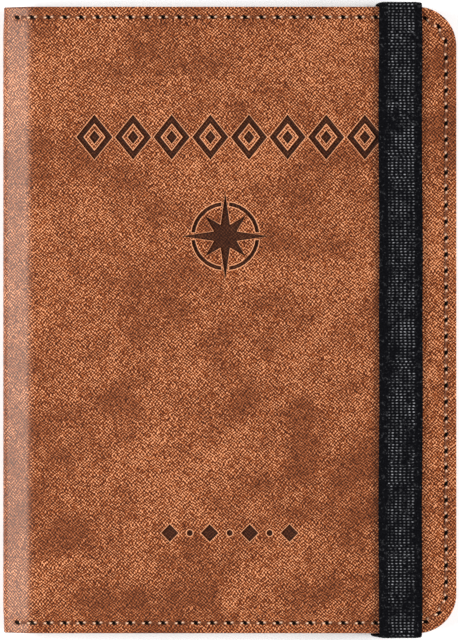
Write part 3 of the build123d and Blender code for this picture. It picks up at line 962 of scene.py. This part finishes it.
def band_half(name, side, lean):
    """Half of the band's webbing, from its anchor in the back cover, where it leans towards the spine, to the
    middle of the front run."""
    lengths, line, headings = band_path()
    count = int(lengths[-1] / RIB_PITCH * RIB_STEPS)
    s = lengths[-1] - np.arange(count, -1, -1) * RIB_PITCH / RIB_STEPS
    s = s[s > 0]
    y, z, heading = (np.interp(s, lengths, values) for values in (*line.T, headings))
    from_middle = lengths[-1] - s

    across = np.linspace(-1, 1, BAND_COLUMNS + 1)
    round_edge = np.sqrt(np.clip(1 - np.abs(across) ** SIDE_POWER, 0, 1))
    x = across * BAND_HALF
    ribbed = smooth(BAND_HALF - abs(x), SELVEDGE - 0.3 * MM, SELVEDGE + 0.2 * MM)
    rib = np.cos(from_middle * 2 * pi / RIB_PITCH)
    cord = np.cos(x * 2 * pi / CORD_PITCH)
    thick = TAIL_THICK + (BAND_THICK - TAIL_THICK) * smooth(s, 0.2 * MM, 2.5 * MM)
    crown = (0.5 + 0.5 * round_edge)[None] * thick[:, None] / 2
    fold = 0.10 * MM * (1 - smooth(BAND_HALF - abs(x), 0.4 * MM, SELVEDGE))
    relief = RIB_DEPTH * (rib[:, None] - 1) / 2 * (0.45 + 0.55 * ribbed)[None]
    relief = relief + (CORD_DEPTH * (cord - 1) / 2 * ribbed)[None]
    top = crown + relief - fold[None]
    bottom = -crown + RIB_DEPTH / 2

    waver = 0.10 * MM * np.sin(from_middle / (9.5 * MM)) * smooth(s, 12 * MM, 30 * MM)
    waver -= lean * (1 - smooth(s, 0, WRAP_LENGTH))
    narrow = 1 - 0.02 * (1 - smooth(s, 9 * MM, 16 * MM))
    rows_x = BAND_MIDDLE + x[None] * narrow[:, None] + waver[:, None]
    columns = [*range(BAND_COLUMNS + 1), *range(BAND_COLUMNS, -1, -BACK_COLUMN_STEP)]
    h = np.concatenate([top, bottom[:, ::-BACK_COLUMN_STEP]], axis=1)
    ring_y = side * (y[:, None] + np.sin(heading)[:, None] * h)
    ring_z = z[:, None] - np.cos(heading)[:, None] * h
    points = np.stack([rows_x[:, columns], ring_y, ring_z], axis=2)
    flat_x, flat_y = np.broadcast_arrays(x[columns][None], side * from_middle[:, None])
    rest = np.stack([flat_x, flat_y, h], axis=2)
    faces = joined_rings(*h.shape)
    piece = make_piece(name, points.reshape(-1, 3), faces, rest.reshape(-1, 3), {}, ELASTIC)
    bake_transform(piece)
    return piece


for name, side, lean in (("top", 1, 0.7 * MM), ("bottom", -1, 1.8 * MM)):
    half = band_half(f"band_{name}_half", side, lean)
    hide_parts(f"band_{name}_wrap", "band_front_run")


# The cloth lining, inside the covers and the spine.

LINING_STEP = node_range("front_lining", 2)[1] - LEATHER_BOTTOM
LINING_THICK = 0.2 * MM
LINING_INSET = HALF_LENGTH - node_range("front_lining", 1)[1]
LINING_EDGE = 0.08 * MM
BOARD_START = t_at_x(node_range("front_board", 0)[0])


def lining_high(t, y):
    """The lining's hidden face: on the leather at the spine, and on a board and a shield on a cover."""
    return -HALF_LEATHER + LINING_STEP * smooth(t, BOARD_START - 1.0 * MM, BOARD_START + 0.1 * MM)


def lining_low(t, y):
    return lining_high(t, y) - LINING_THICK


for cover, (side, body, slope) in SIDES.items():
    run = crease_run(T_CUT, T_END - CORNER_RADIUS, (T_FRONT_ARC[0], BOARD_START + 0.3 * MM))
    inner = rows(run[(run > T_CUT) & (run < BOARD_START + 0.5 * MM)], HALF_LENGTH - LINING_INSET - 0.3 * MM)
    cloth = sheet(
        f"{cover}_lining_cloth", lambda inset: panel_loop(run, LINING_INSET + inset), lining_low, lining_high,
        skin_side(side), LINING_EDGE, LINING, (), inner, inner, way=side,
    )
    bend(cloth, side, T_FRONT_ARC, CREASE_MARGIN)
    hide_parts(f"{cover}_lining", f"{slope}_lining")
    strip = spine_skin(
        f"{cover}_spine_lining_cloth", side, lining_low, lining_high,
        HALF_LENGTH - LINING_INSET, LINING_EDGE, LINING,
    )
    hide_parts(f"{slope}_lining", "spine_middle_lining")


# The leather pockets inside, each a flat piece with soft edges, sewn along its mouth.

POCKET_PITCH = 3.0 * MM
MOUTH_SEAM_INSET = 1.7 * MM
POCKET_EDGE = 0.14 * MM
THIN_THREAD = (0.19 * MM, 0.14 * MM)
NOTCH_RADIUS = 13.0 * MM
NOTCH_DEPTH = 5.0 * MM
NOTCH_ANGLE = 52.0
POCKET_STEP_X = 6 * MM
POCKET_STEP_Y = 8 * MM


def pocket_outline(left, inset, mouth=None, notch=False):
    """A pocket's outline: from its left edge to the fore edge, the full height of the cover or up to a
    mouth across it, with a thumb notch in its left edge if there is one."""
    right, radius = HALF_WIDTH - inset, CORNER_RADIUS - inset
    bottom = -(HALF_LENGTH - inset)
    top = -bottom if mouth is None else mouth
    top_corner = radius if mouth is None else 0
    points = [(x, bottom) for x in spaced(left, right - radius, POCKET_STEP_X)]
    points += arc_points((right - radius, bottom + radius), radius, -90, 0)
    points += [(right, y) for y in spaced(bottom + radius, top - top_corner, POCKET_STEP_Y)[1:]]
    if mouth is None:
        points += arc_points((right - radius, top - radius), radius, 0, 90)
    points += [(x, top) for x in spaced(right - top_corner, left, POCKET_STEP_X)[1:]]
    if notch:
        notch_top = NOTCH_RADIUS * sin(radians(NOTCH_ANGLE))
        points += [(left, y) for y in spaced(top, notch_top, POCKET_STEP_Y)[1:]]
        centre = (left + NOTCH_DEPTH - NOTCH_RADIUS, 0)
        points += arc_points(centre, NOTCH_RADIUS, NOTCH_ANGLE, -NOTCH_ANGLE, 24)
        top = -notch_top
    points += [(left, y) for y in spaced(top, bottom, POCKET_STEP_Y)[1:-1]]
    return np.array(points)


def facing(up, level=0.0):
    """How flat points are put in space on a face that looks up (1) or down (-1), from this level."""
    return lambda x, y, h: np.stack([x, y, level + up * h], axis=-1)


def pocket(node, body, outline, up):
    """The pocket that a CAD node stands for, with its open face up (1) or down (-1)."""
    low, high = node_range(node, 2)
    piece = sheet(
        f"{node}_piece", lambda inset: grow(outline, -inset), lambda x, y: 0 * x,
        lambda x, y: 0 * x + high - low, facing(up, low if up > 0 else high), POCKET_EDGE, POCKET,
        edge_ink=0.9,
    )
    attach(piece, body)
    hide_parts(node)


def sewn_line(name, body, line, height, up):
    """Stitches along a line of a pocket's open face, at this height."""
    line = np.array(line)
    lengths = distances(line)
    count = max(1, round(lengths[-1] / POCKET_PITCH))
    s = lengths[-1] * np.arange(count + 1) / count
    x, y = (np.interp(s, lengths, values) for values in line.T)
    marks = list(zip(x, y, np.arctan2(np.gradient(y), np.gradient(x))))
    row = stitches(name, marks, lambda x, y: 0 * x + up * height, facing(up), 0.3 * MM, THIN_THREAD)
    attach(row, body)


SLEEVE_LEFT, sleeve_right = node_range("passport_sleeve", 0)
SLEEVE_FACE = node_range("passport_sleeve", 2)[1]
sleeve = pocket_outline(SLEEVE_LEFT, HALF_WIDTH - sleeve_right, notch=True)
pocket("passport_sleeve", "back_cover", sleeve, 1)
# Its seam runs down along its mouth, from one of the cover's sewn edges to the other.
seam = grow(sleeve, -MOUTH_SEAM_INSET)
seam = seam[(seam[:, 0] < SLEEVE_LEFT + NOTCH_DEPTH + 2 * MM) & (abs(seam[:, 1]) < HALF_LENGTH - 3.6 * MM)]
seam = seam[np.argsort(-seam[:, 1])]
ends = [(SLEEVE_LEFT + MOUTH_SEAM_INSET, side * (HALF_LENGTH - SEAM_INSET)) for side in (1, -1)]
sewn_line("passport_sleeve_stitches", "back_cover", [ends[0], *seam, ends[1]], SLEEVE_FACE, 1)

SIM_ROUND = 2.0 * MM
SIM_STEPS = 8
SIM_SEAM_INSET = 1.2 * MM
(left, bottom, _), (right, top, sim_face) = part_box("sim_pocket")
left, right, bottom, top = left + SIM_ROUND, right - SIM_ROUND, bottom + SIM_ROUND, top - SIM_ROUND
sim = []
for centre, angle in (((right, bottom), -90), ((right, top), 0), ((left, top), 90), ((left, bottom), 180)):
    sim += arc_points(centre, SIM_ROUND, angle, angle + 90, SIM_STEPS)
pocket("sim_pocket", "back_cover", np.array(sim), 1)
# Its seam runs along its bottom and right edges.
seam = np.roll(grow(sim, -SIM_SEAM_INSET), SIM_STEPS, axis=0)[:-SIM_STEPS]
sewn_line("sim_pocket_stitches", "back_cover", seam, sim_face, 1)

SLIP_LEFT, slip_right = node_range("slip_pocket", 0)
SLIP_FACE = node_range("slip_pocket", 2)[0]
slip_inset = HALF_WIDTH - slip_right
pocket("slip_pocket", "front_cover", pocket_outline(SLIP_LEFT, slip_inset), -1)
slot_top = node_range("card_slot_1", 1)[1] + 1 * MM
slip_line = [(SLIP_LEFT + MOUTH_SEAM_INSET, y) for y in (HALF_LENGTH - SEAM_INSET, slot_top)]
sewn_line("slip_pocket_stitches", "front_cover", slip_line, SLIP_FACE, -1)
SLOT_STEPS = []
for number in (1, 2, 3):
    node = f"card_slot_{number}"
    mouth, face = node_range(node, 1)[1], node_range(node, 2)[0]
    SLOT_STEPS.append((mouth, face))
    pocket(node, "front_cover", pocket_outline(SLIP_LEFT, slip_inset, mouth), -1)
    y = mouth - MOUTH_SEAM_INSET
    line = [(SLIP_LEFT + MOUTH_SEAM_INSET, y), (HALF_WIDTH - SEAM_INSET - 1.2 * MM, y)]
    sewn_line(f"{node}_stitches", "front_cover", line, face, -1)


def back_inner_face(x, y):
    """The face that the seam comes out of inside the back cover."""
    lining = node_range("back_lining", 2)[1]
    return lining + (SLEEVE_FACE - lining) * smooth(x, SLEEVE_LEFT - 0.6 * MM, SLEEVE_LEFT)


def front_inner_face(x, y):
    """The same inside the front cover, upside down: it steps up at the pocket's edge and at each slot."""
    lining = node_range("front_lining", 2)[0]
    face = lining + (SLIP_FACE - lining) * smooth(x, SLIP_LEFT - 0.5 * MM, SLIP_LEFT)
    before = SLIP_FACE
    for mouth, height in SLOT_STEPS:
        face = face + (height - before) * (1 - smooth(y, mouth, mouth + 0.5 * MM)) * (x > SLIP_LEFT)
        before = height
    return -face


for cover, face, up in (("front", front_inner_face, -1), ("back", back_inner_face, 1)):
    marks = [(t - COVER_SHIFT, y, turn) for t, y, turn in SEAM_MARKS if t > BOARD_START + 0.8 * MM]
    row = stitches(f"{cover}_inner_stitches", marks, face, facing(up))
    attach(row, f"{cover}_cover")


# The CAD nodes that stay: stiffeners, shields, fillers and the band's sewn-in tails.

CARRIED = {
    BOARD: ["front_board", "back_board"],
    FOIL: ["front_shield", "back_shield"],
    TAIL: ["band_top_tail", "band_bottom_tail"],
    FILLER: ["sleeve_filler_fore", "sleeve_filler_top", "sleeve_filler_bottom"],
}
for material, nodes in CARRIED.items():
    for node in nodes:
        for slot in bpy.data.objects[node].material_slots:
            slot.material = material


# Stage, light and camera.

VIEW_HEIGHT = 146.62 * MM
LENS = 400.0
SENSOR = 36.0
LIGHT_AIM = Vector((0, 0, 0.005))


def stage():
    """A pale floor under the holder."""
    shader = Shader("floor")
    shader.set(Base_Color=(0.95, 0.95, 0.95), Roughness=0.9, Specular_IOR_Level=0.1)
    shader.set(Emission_Color=(1, 1, 1), Emission_Strength=0.12)
    mesh = bpy.data.meshes.new("floor")
    reach, below = 3.0, -0.05 * MM
    corners = [(x * reach, y * reach, below) for x, y in ((-1, -1), (1, -1), (1, 1), (-1, 1))]
    mesh.from_pydata(corners, [], [(0, 1, 2, 3)])
    mesh.materials.append(shader.material)
    add_object("floor", mesh)


def softbox(name, place, size, power):
    """A rectangular light that faces the holder."""
    data = bpy.data.lights.new(name, "AREA")
    data.shape = "RECTANGLE"
    data.size, data.size_y = size
    data.energy = power
    light = add_object(name, data)
    light.location = place
    light.rotation_euler = (LIGHT_AIM - light.location).to_track_quat("-Z", "Y").to_euler()
    return light


def studio():
    """Even pale surroundings, a glareless key light from the fore side and a low one by the spine."""
    world = bpy.data.worlds.new("studio")
    world.use_nodes = True
    background = world.node_tree.nodes["Background"].inputs
    background["Color"].default_value = (1, 1, 1, 1)
    background["Strength"].default_value = 0.33
    bpy.context.scene.world = world
    key = softbox("key", (2.80, 0.0, 1.40), (1.20, 1.20), 140.0)
    key.visible_glossy = False
    softbox("spine_light", (-0.52, 0.0, 0.30), (0.50, 0.20), 4.1)


def camera():
    """Straight above, close enough to show the top and bottom edges at the frame's edges."""
    data = bpy.data.cameras.new("camera")
    data.lens = LENS
    data.sensor_width = SENSOR
    data.clip_start = 0.01
    view = add_object("camera", data)
    view.location = (0, 0, TOP_Z + VIEW_HEIGHT * LENS / SENSOR)
    bpy.context.scene.camera = view


stage()
studio()
camera()
bpy.context.scene.view_settings.view_transform = "Standard"
